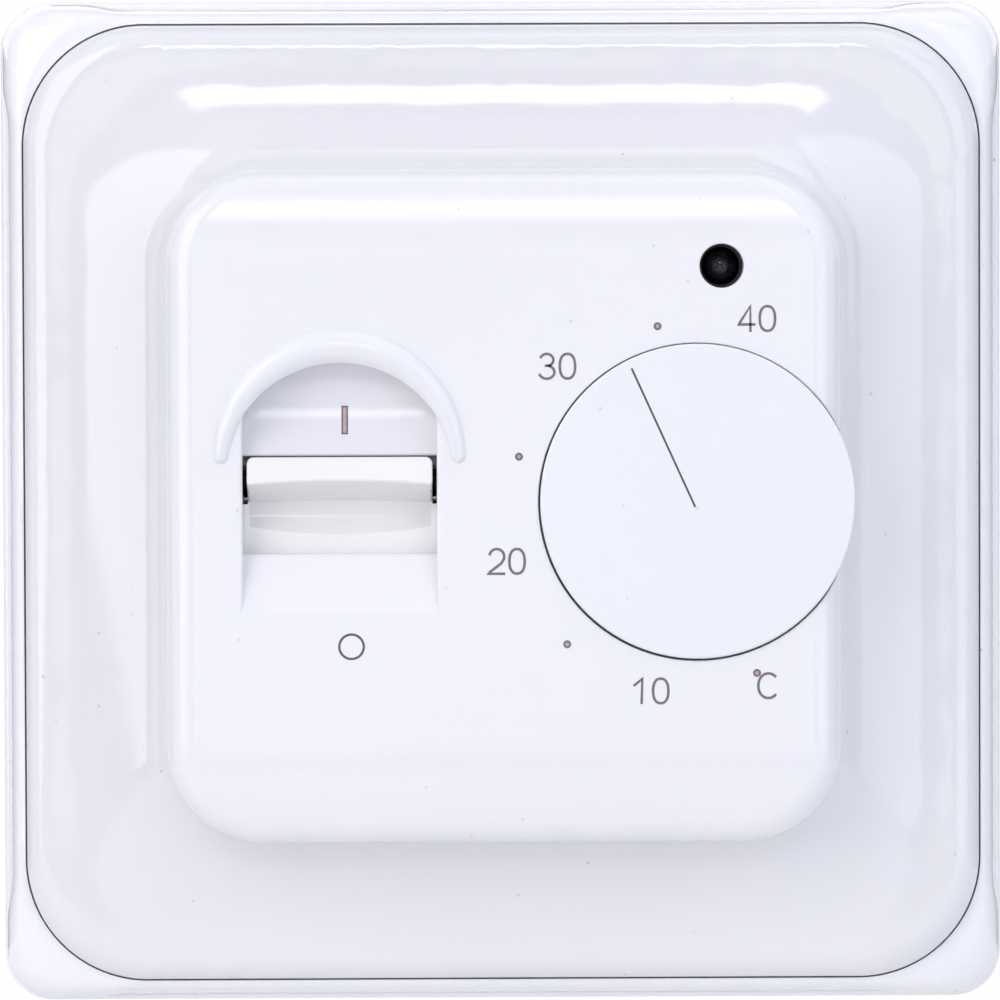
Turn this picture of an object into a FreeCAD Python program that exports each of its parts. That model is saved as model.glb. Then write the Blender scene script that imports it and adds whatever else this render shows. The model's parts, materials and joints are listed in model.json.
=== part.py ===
import FreeCAD, Part
import math
import os
from FreeCAD import Vector

# Wall thermostat for a 60 mm flush box: snap-together frame, centre cover, setpoint dial,
# tilting power lever, and a base module that reaches into the wall.
# Everything is drawn in the plate frame, in millimetres: x to the right, y up, z out of the wall
# towards the user, with z = 0 on the wall. save() turns it so that the front looks along -Y.

# ---- driving dimensions ----
OVERALL_SIDE = 86.0          # across the flared corners
CORNER_HALF = OVERALL_SIDE / 2
WAIST_HALF = 42.5            # half width of the front skin between the flared corners
OUTER_CORNER_R = 4.0
FOOT_HEIGHT = 1.2            # straight rim under the flared skin
SKIN_HALF, SKIN_Z0 = 42.88, 0.5      # the skin's corners, just inside the rim, and where it starts
TRIM_HALF, TRIM_CORNER_R = 40.9, 10.35
JOINT_GAP = 0.15             # shadow line between the two frames
FRAME_HEIGHT = 4.4           # outer frame, at the shadow line
SHELF_Z0, SHELF_Z1 = 1.7, 2.7
SHELF_INNER_HALF = 35.0
ROLL_HALF, ROLL_Z = 38.6, 6.5    # where the trim's rounded shoulder turns flat
TRIM_TOP_HALF, TRIM_TOP_Z = 28.2, 11.0
TRIM_WALL = 1.7
COVE_RISE = 2.5              # the trim's gentle sweep; a tight round does the rest, up to the cover
COVE_END_POWER = 12
COVER_HALF, COVER_CORNER_R = 28.5, 8.2
FACE_Z = 15.6
COVER_RIM_Z = 11.15
COVER_WALL_TOP = 2.0
SKIRT_OUT, SKIRT_IN = 27.0, 25.6
PILLOW_FLAT_HALF, PILLOW_R = 20.5, 24.0
COVER_EDGE_R = 2.4
KNOB_X, KNOB_Y, KNOB_R = 16.3, 0.4, 13.25
KNOB_Z0, KNOB_Z1 = 12.0, 16.0
POCKET_R, POCKET_Z = 13.38, 11.7
POCKET_SHIFT = (-0.03, -0.06)    # the pocket is moulded slightly off the spindle axis
SCALE_REST, SCALE_SPAN = 24.5, (42.4, 173.4)   # pointer's lean at rest; degrees to hottest and coldest
POINTER_FROM, POINTER_TO, POINTER_SIDE = -0.35, 12.5, 0.4    # along the groove; it misses the axis a little
SHAFT_R = 3.0
LED_X, LED_Y, LED_HOLE_R = 18.36, 20.18, 1.85
LEVER_X, PIVOT_Y, PIVOT_Z = -13.8, 0.3, 5.4
LEVER_TILT = 15.0
FIN_TIP = 10.6               # from the pivot to the fin's end face
FIN_HALF_X = 7.8
PLATE_CREST, PLATE_END = 6.5, 6.2   # height of the lever's plate over the pivot, middle and ends
PLATE_HALF_X = 8.3           # the plate is wider than the window, so no gap shows beside it
PLATE_REACH = 6.3            # from the pivot to the plate's upper and lower ends
LEVER_SWEEP_R = 8.84         # from the pivot to the corner of the plate's end
WINDOW_HALF_X = 8.17
WINDOW_Y0, WINDOW_Y1 = -3.98, 4.28
RAMP_Y, RAMP_Z = -8.88, 14.2
HOOD_CENTRE_Y, HOOD_IN_R = 2.52, 9.62      # the arch, which is also the crescent's inner edge
RIDGE_CENTRE_Y, RIDGE_OUT_R = 4.33, 10.6   # the crescent's outer edge
RIDGE_END_Y = 4.3            # where the crescent's two tips are rounded off
RIDGE_RISE = 0.62            # its height over half its width
HOUSING_HALF, HOUSING_ROUND_R = 25.0, 28.9
PLATE_HALF, PLATE_T = 35.5, 1.0
FIXING_SPACING, SLOT_R, SLOT_LENGTH = 60.0, 2.1, 7.0
HOUSING_DEPTH = 26.4
STEP_Z = -13.9
CONTROL_Z, POWER_Z, BOARD_T = 1.2, -13.5, 1.6
BOSSES = ((-18.3, 18.3), (18.3, -18.3))
COVER_SCREW = (KNOB_X + 6.22, KNOB_Y - 6.22)
ARM_LENGTH, ARM_TIP_R = 7.0, 1.0
TERMINALS, TERMINAL_PITCH = 8, 5.0


# ---- shape helpers ----
def box(x0, x1, y0, y1, z0, z1):
    return Part.makeBox(x1 - x0, y1 - y0, z1 - z0, Vector(x0, y0, z0))


def disc(radius, z0, z1, x=0.0, y=0.0):
    return Part.makeCylinder(radius, z1 - z0, Vector(x, y, z0))


def rod_x(radius, x0, x1, y, z):
    return Part.makeCylinder(radius, x1 - x0, Vector(x0, y, z), Vector(1, 0, 0))


def rod_y(radius, y0, y1, x, z):
    return Part.makeCylinder(radius, y1 - y0, Vector(x, y0, z), Vector(0, 1, 0))


def tube(outer_r, inner_r, z0, z1, x=0.0, y=0.0):
    return disc(outer_r, z0, z1, x, y).cut(disc(inner_r, z0, z1, x, y))


def edge_between(a, middle, b):
    """A straight edge, or an arc where the middle point is off the chord."""
    if middle.distanceToLine(a, b - a) < 1e-4:
        return Part.LineSegment(a, b).toShape()
    return Part.Arc(a, middle, b).toShape()


def rounded_wire(half_x, half_y, radius, z, x=0.0, y=0.0):
    edges = []
    for turn in range(4):
        hx, hy = (half_x, half_y) if turn % 2 == 0 else (half_y, half_x)
        start, end = Vector(radius - hx, hy, z), Vector(hx - radius, hy, z)
        knee = Vector(hx - radius * (1 - math.sqrt(0.5)), hy - radius * (1 - math.sqrt(0.5)), z)
        finish = Vector(hx, hy - radius, z)
        for a, middle, b in ((start, (start + end) / 2, end), (end, knee, finish)):
            edge = edge_between(a, middle, b)
            edge.rotate(Vector(), Vector(0, 0, 1), -90 * turn)
            edges.append(edge)
    wire = Part.Wire(edges)
    wire.translate(Vector(x, y, 0))
    return wire


def rounded_block(half_x, half_y, radius, z0, z1, x=0.0, y=0.0):
    return Part.Face(rounded_wire(half_x, half_y, radius, z0, x, y)).extrude(Vector(0, 0, z1 - z0))


def side_prism(stations, x0, x1):
    """A y-z outline given as (start, middle or None, end) stretches, extruded along x."""
    edges = []
    for a, middle, b in stations:
        pa, pb = Vector(x0, *a), Vector(x0, *b)
        edges.append(Part.LineSegment(pa, pb).toShape() if middle is None
                     else Part.Arc(pa, Vector(x0, *middle), pb).toShape())
    return Part.Face(Part.Wire(edges)).extrude(Vector(x1 - x0, 0, 0))


def polygon_side(points, x0, x1):
    return side_prism([(a, None, b) for a, b in zip(points, points[1:] + points[:1])], x0, x1)


def screw(head_r, head_h, shank_r, length, x, y, under_head_z, out=1, slot=0.6):
    """A pan-head screw whose head rises from under_head_z; out is +1 facing the user, -1 facing the wall."""
    top = under_head_z + out * head_h
    head = disc(head_r, min(under_head_z, top), max(under_head_z, top), x, y)
    rim = [e for e in head.Edges if abs(e.CenterOfMass.z - top) < 1e-6 and len(e.Vertexes) == 1]
    head = head.makeFillet(min(head_h, head_r) * 0.35, rim)
    tip = under_head_z - out * length
    shank = disc(shank_r, min(under_head_z, tip), max(under_head_z, tip), x, y)
    bite = head_h * 0.55
    cross = box(x - head_r * 0.62, x + head_r * 0.62, y - slot / 2, y + slot / 2,
                min(top, top - out * bite), max(top, top - out * bite))
    other = cross.copy()
    other.rotate(Vector(x, y, 0), Vector(0, 0, 1), 90)
    return head.fuse(shank).cut(cross.fuse(other))


def save(name, *solids):
    """Turns the plate frame into the row frame and writes one STEP with these solids."""
    shape = solids[0] if len(solids) == 1 else Part.makeCompound(list(solids))
    shape = shape.removeSplitter() if len(solids) == 1 else shape
    shape.rotate(Vector(), Vector(1, 0, 0), 90)
    if not shape.isValid():
        print("INVALID", name)
    print(f"{name}: {len(shape.Solids)} solids, {shape.Volume:.1f} mm3")
    shape.exportStep(f"parts/{name}.step")


# ---- the two frames ----
def flared_quarter(z):
    """Outline points (start, middle, end) from the middle of the top side to the middle of the right
    side: a straight waist, an S-bend out to the corner, and the corner's arc."""
    bend_start, bend_end = 32.0, 36.5
    rise = SKIN_HALF - WAIST_HALF
    run = bend_end - bend_start
    bend_r = (run ** 2 + rise ** 2) / (4 * rise)
    half_turn = math.asin(run / 2 / bend_r) / 2
    middle_x, middle_y = (bend_start + bend_end) / 2, (WAIST_HALF + SKIN_HALF) / 2
    dx, dy = bend_r * math.sin(half_turn), bend_r * (1 - math.cos(half_turn))
    knee = SKIN_HALF - OUTER_CORNER_R * (1 - math.sqrt(0.5))
    corner = SKIN_HALF - OUTER_CORNER_R
    half = [((0, WAIST_HALF), (bend_start / 2, WAIST_HALF), (bend_start, WAIST_HALF)),
            ((bend_start, WAIST_HALF), (bend_start + dx, WAIST_HALF + dy), (middle_x, middle_y)),
            ((middle_x, middle_y), (bend_end - dx, SKIN_HALF - dy), (bend_end, SKIN_HALF)),
            ((bend_end, SKIN_HALF), ((bend_end + corner) / 2, SKIN_HALF), (corner, SKIN_HALF))]
    mirrored = [tuple((q[1], q[0]) for q in reversed(stretch)) for stretch in reversed(half)]
    stretches = half + [((corner, SKIN_HALF), (knee, knee), (SKIN_HALF, corner))] + mirrored
    return [tuple(Vector(px, py, z) for px, py in stretch) for stretch in stretches]


def inner_quarter(half, radius, z):
    """The same number of stretches along a plain rounded square, for lofting to the flared outline."""
    straight = half - radius
    turns = [90.0, 83.0, 76.0, 68.0, 22.0, 14.0, 7.0, 0.0]

    def on_arc(angle):
        a = math.radians(angle)
        return Vector(straight + radius * math.cos(a), straight + radius * math.sin(a), z)

    top = (Vector(0, half, z), Vector(straight / 2, half, z), Vector(straight, half, z))
    side = (Vector(half, straight, z), Vector(half, straight / 2, z), Vector(half, 0, z))
    arcs = [(on_arc(a), on_arc((a + b) / 2), on_arc(b)) for a, b in zip(turns, turns[1:])]
    return [top] + arcs + [side]


def frame_section(share, z):
    """The outer frame's outline, share of the way from the flared base to the shadow line."""
    gap_half, gap_r = TRIM_HALF + JOINT_GAP, TRIM_CORNER_R + JOINT_GAP
    edges = []
    for turn in range(4):
        for base, top in zip(flared_quarter(z), inner_quarter(gap_half, gap_r, z)):
            a, middle, b = (p + (q - p) * share for p, q in zip(base, top))
            edge = edge_between(a, middle, b)
            edge.rotate(Vector(), Vector(0, 0, 1), -90 * turn)
            edges.append(edge)
    return Part.Wire(edges)


def clip_positions():
    return [(turn, -9.0) for turn in range(4)] + [(turn, 9.0) for turn in range(4)]


def around(shape, turn):
    copy = shape.copy()
    copy.rotate(Vector(), Vector(0, 0, 1), 90 * turn)
    return copy


def make_outer_frame():
    steps = [math.radians(a) for a in (0, 28, 54, 76)]
    rise = FRAME_HEIGHT - SKIN_Z0
    wires = [frame_section(0.95 * (1 - math.cos(t)), SKIN_Z0 + rise * math.sin(t)) for t in steps]
    wires.append(frame_section(1.05, FRAME_HEIGHT))     # a little past the shadow line, which is cut next
    body = Part.makeLoft(wires, True, False)
    foot = rounded_block(CORNER_HALF, CORNER_HALF, OUTER_CORNER_R, 0, FOOT_HEIGHT)
    foot = foot.makeFillet(0.4, [e for e in foot.Edges if abs(e.CenterOfMass.z - FOOT_HEIGHT) < 1e-6])
    body = body.fuse(foot)
    gap_half = TRIM_HALF + JOINT_GAP
    body = body.cut(rounded_block(gap_half, gap_half, TRIM_CORNER_R + JOINT_GAP, SHELF_Z1, 6))
    body = body.cut(rounded_block(40.0, 40.0, 9.0, -1, SHELF_Z0))
    body = body.cut(rounded_block(SHELF_INNER_HALF, SHELF_INNER_HALF, 4.0, -1, 6))
    for turn, along in clip_positions():
        body = body.cut(around(box(36.0, 38.4, along - 3.4, along + 3.4, -1, SHELF_Z1 + 1), turn))
    for turn in range(4):
        for along in (-25.0, 0.0, 25.0):
            body = body.fuse(around(box(38.6, 40.6, along - 0.5, along + 0.5, 0.3, SHELF_Z0), turn))
    return body


def trim_sections(inset, drop, start_z):
    """Rounded squares up the trim's profile: upright edge, quarter-ellipse shoulder, then the cove."""
    def square(half, z):
        share = (TRIM_HALF - half) / (TRIM_HALF - TRIM_TOP_HALF)
        radius = TRIM_CORNER_R + (COVER_CORNER_R - TRIM_CORNER_R) * share
        return rounded_wire(half - inset, half - inset, radius - inset * 0.6, z - drop)

    rise, width = ROLL_Z - FRAME_HEIGHT, TRIM_HALF - ROLL_HALF
    wires = [square(TRIM_HALF, start_z + drop)]
    for angle in (0, 25, 50, 72):
        a = math.radians(angle)
        wires.append(square(ROLL_HALF + width * math.cos(a), FRAME_HEIGHT + rise * math.sin(a)))
    end_rise = TRIM_TOP_Z - ROLL_Z - COVE_RISE
    for u in (0, 0.15, 0.3, 0.45, 0.6, 0.72, 0.81, 0.88, 0.93, 0.97, 1):
        wires.append(square(ROLL_HALF + (TRIM_TOP_HALF - ROLL_HALF) * u,
                            ROLL_Z + COVE_RISE * u ** 2 + end_rise * u ** COVE_END_POWER))
    return wires


def make_trim_frame():
    upright, rest = trim_sections(0, 0, SHELF_Z1)[:2], trim_sections(0, 0, SHELF_Z1)[1:]
    body = Part.makeLoft(upright, True, True).fuse(Part.makeLoft(rest, True, False))
    low = trim_sections(TRIM_WALL, TRIM_WALL, SHELF_Z1 - 1)
    core = Part.makeLoft(low[:2], True, True).fuse(Part.makeLoft(low[1:], True, False))
    opening = rounded_block(27.3, 27.3, 7.0, -1, 20)
    body = body.cut(core).cut(opening)
    for turn, along in clip_positions():
        stem = box(36.4, 37.4, along - 3, along + 3, 1.0, 5.4)
        beak = box(37.3, 38.1, along - 3, along + 3, 1.0, 1.55)
        body = body.fuse(around(stem.fuse(beak), turn))
    return body


# ---- the centre cover ----
def recess_cutter():
    """The lever's recess: hooded arch on top, scooped floor, window, and the ramp below it."""
    left, right = LEVER_X - WINDOW_HALF_X, LEVER_X + WINDOW_HALF_X
    arch_y = HOOD_CENTRE_Y + math.sqrt(HOOD_IN_R ** 2 - WINDOW_HALF_X ** 2)
    low, top = 8.0, 20.0
    corners = [Vector(left, arch_y, low), Vector(left, RAMP_Y, low), Vector(right, RAMP_Y, low),
               Vector(right, arch_y, low)]
    edges = [Part.LineSegment(a, b).toShape() for a, b in zip(corners, corners[1:])]
    crown = Vector(LEVER_X, HOOD_CENTRE_Y + HOOD_IN_R, low)
    edges.append(Part.Arc(corners[3], crown, corners[0]).toShape())
    outline = Part.Face(Part.Wire(edges)).extrude(Vector(0, 0, top - low))
    back = HOOD_CENTRE_Y + HOOD_IN_R + 0.6
    above_floor = side_prism([
        ((back, top), None, (back, 13.15)),
        ((back, 13.15), (9.0, 12.75), (WINDOW_Y1, 14.4)),
        ((WINDOW_Y1, 14.4), None, (WINDOW_Y1, low)),
        ((WINDOW_Y1, low), None, (WINDOW_Y0, low)),
        ((WINDOW_Y0, low), None, (WINDOW_Y0, RAMP_Z)),
        ((WINDOW_Y0, RAMP_Z), None, (RAMP_Y, FACE_Z)),
        ((RAMP_Y, FACE_Z), None, (RAMP_Y, top)),
        ((RAMP_Y, top), None, (back, top))], left - 1, right + 1)
    return outline.common(above_floor)


def hood_ridge():
    """The raised crescent over the recess: a low round bead between two circles, thin at its ends."""
    def reach(angle, centre_y, radius):
        """Distance from the middle of the tips to a circle, along a ray at this angle."""
        across, up = math.cos(angle), math.sin(angle)
        offset = centre_y - RIDGE_END_Y
        return offset * up + math.sqrt(radius ** 2 - (offset * across) ** 2)

    def bead(angle):
        inner = reach(angle, HOOD_CENTRE_Y, HOOD_IN_R - 0.1)      # the recess trims it back
        outer = reach(angle, RIDGE_CENTRE_Y, RIDGE_OUT_R)
        half_width, middle = (outer - inner) / 2, (outer + inner) / 2
        height = RIDGE_RISE * half_width
        radius = (half_width ** 2 / height + height) / 2
        centre = Vector(LEVER_X + middle * math.cos(angle), RIDGE_END_Y + middle * math.sin(angle),
                        FACE_Z + height - radius)
        return radius, centre, Vector(-math.sin(angle), math.cos(angle), 0)

    wires = []
    for step in range(13):
        radius, centre, along = bead(math.radians(step * 15.0))
        wires.append(Part.Wire(Part.makeCircle(radius, centre, along)))
    ridge = Part.makeLoft(wires, True, False)
    for angle in (0, math.pi):
        radius, centre, _ = bead(angle)
        ridge = ridge.fuse(Part.makeSphere(radius, centre))
    return ridge


def cover_blank():
    """The pillowed cap: flat in the middle, rolling away at top and bottom, edges rounded."""
    reach = COVER_HALF + 1
    drop = PILLOW_R - math.sqrt(PILLOW_R ** 2 - (reach - PILLOW_FLAT_HALF) ** 2)
    half_y = (reach + PILLOW_FLAT_HALF) / 2
    half_drop = PILLOW_R - math.sqrt(PILLOW_R ** 2 - (half_y - PILLOW_FLAT_HALF) ** 2)
    pillow = side_prism([
        ((-reach, COVER_RIM_Z), None, (-reach, FACE_Z - drop)),
        ((-reach, FACE_Z - drop), (-half_y, FACE_Z - half_drop), (-PILLOW_FLAT_HALF, FACE_Z)),
        ((-PILLOW_FLAT_HALF, FACE_Z), None, (PILLOW_FLAT_HALF, FACE_Z)),
        ((PILLOW_FLAT_HALF, FACE_Z), (half_y, FACE_Z - half_drop), (reach, FACE_Z - drop)),
        ((reach, FACE_Z - drop), None, (reach, COVER_RIM_Z)),
        ((reach, COVER_RIM_Z), None, (-reach, COVER_RIM_Z))], -reach, reach)
    cap = rounded_block(COVER_HALF, COVER_HALF, COVER_CORNER_R, COVER_RIM_Z, FACE_Z + 1).common(pillow)
    rim = []
    for edge in cap.Edges:
        upper = edge.BoundBox.ZMin > COVER_RIM_Z + 0.5
        middle = edge.valueAt((edge.FirstParameter + edge.LastParameter) / 2)
        on_side = max(abs(middle.x), abs(middle.y)) > COVER_HALF - 3.0
        crease = abs(abs(middle.y) - PILLOW_FLAT_HALF) < 1e-3 and abs(middle.x) < COVER_HALF - 0.1
        if upper and on_side and not crease and edge.BoundBox.ZLength < 3.5:
            rim.append(edge)
    return cap.makeFillet(COVER_EDGE_R, rim)


def make_centre_cover():
    px, py = KNOB_X + POCKET_SHIFT[0], KNOB_Y + POCKET_SHIFT[1]
    under = FACE_Z - COVER_WALL_TOP
    body = cover_blank().fuse(rounded_block(SKIRT_OUT, SKIRT_OUT, 6.7, 3.2, COVER_RIM_Z + 0.5))
    body = body.cut(rounded_block(SKIRT_IN, SKIRT_IN, 5.3, 3.0, under))
    inside = rounded_block(SKIRT_OUT, SKIRT_OUT, 6.7, 9.9, under + 0.2)
    body = body.fuse(disc(POCKET_R + 1.5, POCKET_Z - 1.5, under + 0.1, px, py).common(inside))
    body = body.fuse(box(-24.0, -3.7, -10.6, 15.2, 10.6, under + 0.1).common(inside))
    body = body.fuse(disc(3.1, 11.2, under + 0.1, LED_X, LED_Y).common(inside))
    recess = recess_cutter()
    body = body.cut(recess)
    sweep = LEVER_SWEEP_R + 0.08
    body = body.cut(rod_x(sweep, LEVER_X - PLATE_HALF_X - 0.1, LEVER_X + PLATE_HALF_X + 0.1,
                          PIVOT_Y, PIVOT_Z))
    body = body.cut(disc(POCKET_R, POCKET_Z, 20, px, py))
    body = body.cut(disc(4.75, 9, 20, KNOB_X, KNOB_Y))
    body = body.cut(disc(1.7, 9, 20, *COVER_SCREW))
    body = body.cut(stop_groove())
    body = body.cut(disc(LED_HOLE_R, 9, 20, LED_X, LED_Y))
    body = body.cut(disc(2.6, 9, under, LED_X, LED_Y))
    body = soften_cover(body.removeSplitter())
    body = body.fuse(hood_ridge().cut(recess))
    for turn in (1, 3):      # snap lugs on the skirt's top and bottom sides
        body = body.fuse(around(box(24.9, SKIRT_IN + 0.2, -16.5, -12.5, 3.2, 4.4), turn))
    return body


def lies_at(edge, y=None, z=None):
    """True for an edge whose whole length stays at this y and at this z."""
    span = edge.BoundBox
    return ((y is None or max(abs(span.YMin - y), abs(span.YMax - y)) < 0.02)
            and (z is None or max(abs(span.ZMin - z), abs(span.ZMax - z)) < 0.02))


def soften_cover(body):
    """Small rounds: window edges, recess sides, indicator hole, and the rim of the knob's pocket."""
    body = body.makeFillet(0.4, [e for e in body.Edges if lies_at(e, WINDOW_Y0, RAMP_Z)])
    body = body.makeFillet(0.2, [e for e in body.Edges if lies_at(e, WINDOW_Y1, 14.4)])
    face_edges = [e for e in body.Edges if lies_at(e, z=FACE_Z)]
    hole = [e for e in face_edges if abs(e.BoundBox.XLength - 2 * LED_HOLE_R) < 0.02]
    body = body.makeFillet(0.15, hole)
    rim = [e for e in body.Edges if lies_at(e, z=FACE_Z) and e.BoundBox.YLength > 20
           and 0 < e.BoundBox.XMin < 5]
    body = body.makeFillet(0.12, rim)
    sides = [e for e in body.Edges if lies_at(e, z=FACE_Z) and e.BoundBox.XLength < 1e-3
             and abs(abs(e.CenterOfMass.x - LEVER_X) - WINDOW_HALF_X) < 0.02]
    return body.makeFillet(0.28, sides)


def stop_groove():
    """The arc in the pocket's floor where the knob's stop pin runs: it ends the dial's travel."""
    hot, cold = SCALE_SPAN
    lead = 5.0
    start = 90 + SCALE_REST - hot - lead
    sector = Part.makeCylinder(11.55, 0.9, Vector(KNOB_X, KNOB_Y, POCKET_Z - 0.9), Vector(0, 0, 1),
                               hot + cold + 2 * lead)
    sector.rotate(Vector(KNOB_X, KNOB_Y, 0), Vector(0, 0, 1), start)
    return sector.cut(disc(9.75, 9, 20, KNOB_X, KNOB_Y))


# ---- what turns with the dial ----
def make_setpoint_knob():
    body = disc(KNOB_R, KNOB_Z0, KNOB_Z1, KNOB_X, KNOB_Y)
    top = [e for e in body.Edges if abs(e.CenterOfMass.z - KNOB_Z1) < 1e-6 and len(e.Vertexes) == 1]
    low = [e for e in body.Edges if abs(e.CenterOfMass.z - KNOB_Z0) < 1e-6 and len(e.Vertexes) == 1]
    body = body.makeFillet(0.2, top + low)
    body = body.cut(tube(KNOB_R - 1.5, 4.3, KNOB_Z0 - 1, KNOB_Z1 - 1.3, KNOB_X, KNOB_Y))
    body = body.fuse(disc(4.3, 9.95, KNOB_Z0 + 0.5, KNOB_X, KNOB_Y))
    body = body.cut(d_shaft(SHAFT_R, 9, 14.7))
    lean = math.radians(90 + SCALE_REST)
    pin_x, pin_y = KNOB_X + 10.65 * math.cos(lean), KNOB_Y + 10.65 * math.sin(lean)
    body = body.fuse(disc(0.62, 11.0, KNOB_Z1 - 1.0, pin_x, pin_y))
    for spoke in range(3):
        rib = box(KNOB_X + 4.2, KNOB_X + KNOB_R - 1.4, KNOB_Y - 0.4, KNOB_Y + 0.4, 13.7, KNOB_Z1 - 1)
        rib.rotate(Vector(KNOB_X, KNOB_Y, 0), Vector(0, 0, 1), 60 + 120 * spoke)
        body = body.fuse(rib)
    line_y = KNOB_Y + POINTER_SIDE
    groove = box(KNOB_X + POINTER_FROM, KNOB_X + POINTER_TO, line_y - 0.09, line_y + 0.09,
                 KNOB_Z1 - 0.12, KNOB_Z1 + 1)
    groove.rotate(Vector(KNOB_X, KNOB_Y, 0), Vector(0, 0, 1), 90 + SCALE_REST)
    return body.cut(groove)


def d_shaft(radius, z0, z1):
    flat = box(KNOB_X - 5, KNOB_X + 5, KNOB_Y - 5, KNOB_Y - 1.5, 10.0, z1 + 1)
    flat.rotate(Vector(KNOB_X, KNOB_Y, 0), Vector(0, 0, 1), SCALE_REST)
    return disc(radius, z0, z1, KNOB_X, KNOB_Y).cut(flat)


def make_potentiometer():
    """Can with its bush, the D-shaft, and the wiper disc that turns inside the can."""
    can = disc(6.6, 3.0, 8.0, KNOB_X, KNOB_Y).fuse(disc(3.6, 8.0, 9.4, KNOB_X, KNOB_Y))
    lugs = box(KNOB_X - 3.6, KNOB_X + 3.6, KNOB_Y - 8.6, KNOB_Y - 5.0, 3.0, 4.2)
    can = can.fuse(lugs)
    can = can.cut(disc(6.0, 4.2, 6.8, KNOB_X, KNOB_Y)).cut(disc(SHAFT_R + 0.05, 3.8, 9.5, KNOB_X, KNOB_Y))
    shaft = d_shaft(SHAFT_R, 6.2, 14.6).fuse(disc(1.5, 4.4, 6.4, KNOB_X, KNOB_Y))
    wiper = tube(5.6, 1.5, 4.8, 6.0, KNOB_X, KNOB_Y)
    return can, shaft, wiper


# ---- the power lever and the switch it drives ----
def tilted(shape, angle):
    """Turns a lever part about its pivot; a positive angle lifts the fin towards the hood."""
    copy = shape.copy()
    copy.rotate(Vector(LEVER_X, PIVOT_Y, PIVOT_Z), Vector(1, 0, 0), -angle)
    return copy


def barrel_x(mid_r, end_r, half, x, y, z):
    """A barrel lying along x: mid_r in the middle, end_r at its two ends."""
    top, left, right = Vector(x, y, z + mid_r), Vector(x - half, y, z + end_r), Vector(x + half, y, z + end_r)
    edges = [Part.Arc(left, top, right).toShape(),
             Part.LineSegment(right, Vector(x + half, y, z)).toShape(),
             Part.LineSegment(Vector(x + half, y, z), Vector(x - half, y, z)).toShape(),
             Part.LineSegment(Vector(x - half, y, z), left).toShape()]
    return Part.Face(Part.Wire(edges)).revolve(Vector(x, y, z), Vector(1, 0, 0), 360)


def make_fin():
    """The finger grip: four-sided, its end face narrower in the middle, its corners rounded."""
    y0, z0, half = PIVOT_Y, PIVOT_Z, FIN_HALF_X
    tip_low, root_low, root_z = y0 - 1.13, y0 - 1.87, z0 + 5.8
    fin = polygon_side([(y0 + 1.5, root_z), (y0 + 1.25, z0 + FIN_TIP), (tip_low, z0 + FIN_TIP),
                        (root_low, root_z)], LEVER_X - half, LEVER_X + half)
    hollow_r, hollow = 96.0, 0.3
    scoop = disc(hollow_r, z0 + 3.0, z0 + 14.0, LEVER_X, tip_low + hollow - hollow_r)
    slope = math.degrees(math.atan2(tip_low - root_low, z0 + FIN_TIP - root_z))
    scoop.rotate(Vector(LEVER_X, tip_low, z0 + FIN_TIP), Vector(1, 0, 0), -slope)
    fin = fin.cut(scoop)
    upper = [e for e in fin.Edges if e.BoundBox.XLength < 1e-3 and e.BoundBox.ZLength > 4
             and e.CenterOfMass.y > y0]
    lower = [e for e in fin.Edges if e.BoundBox.XLength < 1e-3 and e.BoundBox.ZLength > 4
             and e.CenterOfMass.y < y0]
    fin = fin.makeFillet(0.6, upper).makeFillet(0.3, lower)
    return fin.makeFillet(0.22, [e for e in fin.Edges if e.BoundBox.ZMin > z0 + FIN_TIP - 1e-3])


def make_power_lever():
    """A tilting plate with a finger fin, a hub on the pivot pin, and the arm that works the switch."""
    y0, z0, half = PIVOT_Y, PIVOT_Z, PLATE_HALF_X
    body = side_prism([
        ((y0 - PLATE_REACH, z0 + 5.0), None, (y0 - PLATE_REACH, z0 + PLATE_END)),
        ((y0 - PLATE_REACH, z0 + PLATE_END), (y0, z0 + PLATE_CREST), (y0 + PLATE_REACH, z0 + PLATE_END)),
        ((y0 + PLATE_REACH, z0 + PLATE_END), None, (y0 + PLATE_REACH, z0 + 5.0)),
        ((y0 + PLATE_REACH, z0 + 5.0), None, (y0 - PLATE_REACH, z0 + 5.0))],
        LEVER_X - half, LEVER_X + half)
    dish_r, dish_end_r, dish_y, dish_z = 2.87, 2.52, y0 - 2.9, z0 + 8.76
    body = body.cut(barrel_x(dish_r, dish_end_r, WINDOW_HALF_X - 0.5, LEVER_X, dish_y, dish_z))
    for side in (-1, 1):     # notches that leave the fin's two ends free
        middle = LEVER_X + side * (FIN_HALF_X + 0.5)
        body = body.cut(box(middle - 0.5, middle + 0.5, y0 - 1.87, y0 + 1.5, z0 + 4, z0 + 8))
    body = body.fuse(make_fin())
    web = box(LEVER_X - 6.6, LEVER_X + 6.6, y0 - 1.5, y0 + 1.5, z0, z0 + 5.3)
    hub = rod_x(2.2, LEVER_X - 7.4, LEVER_X + 7.4, y0, z0)
    arm = box(LEVER_X - 1.6, LEVER_X + 1.6, y0 - 0.7, y0 + 0.7, z0 - ARM_LENGTH, z0 - 1)
    tip = rod_x(ARM_TIP_R, LEVER_X - 1.6, LEVER_X + 1.6, y0, z0 - ARM_LENGTH)
    body = body.fuse(web).fuse(hub).fuse(arm).fuse(tip)
    body = body.cut(rod_x(0.85, LEVER_X - 9, LEVER_X + 9, y0, z0))
    return tilted(body, LEVER_TILT)


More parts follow.
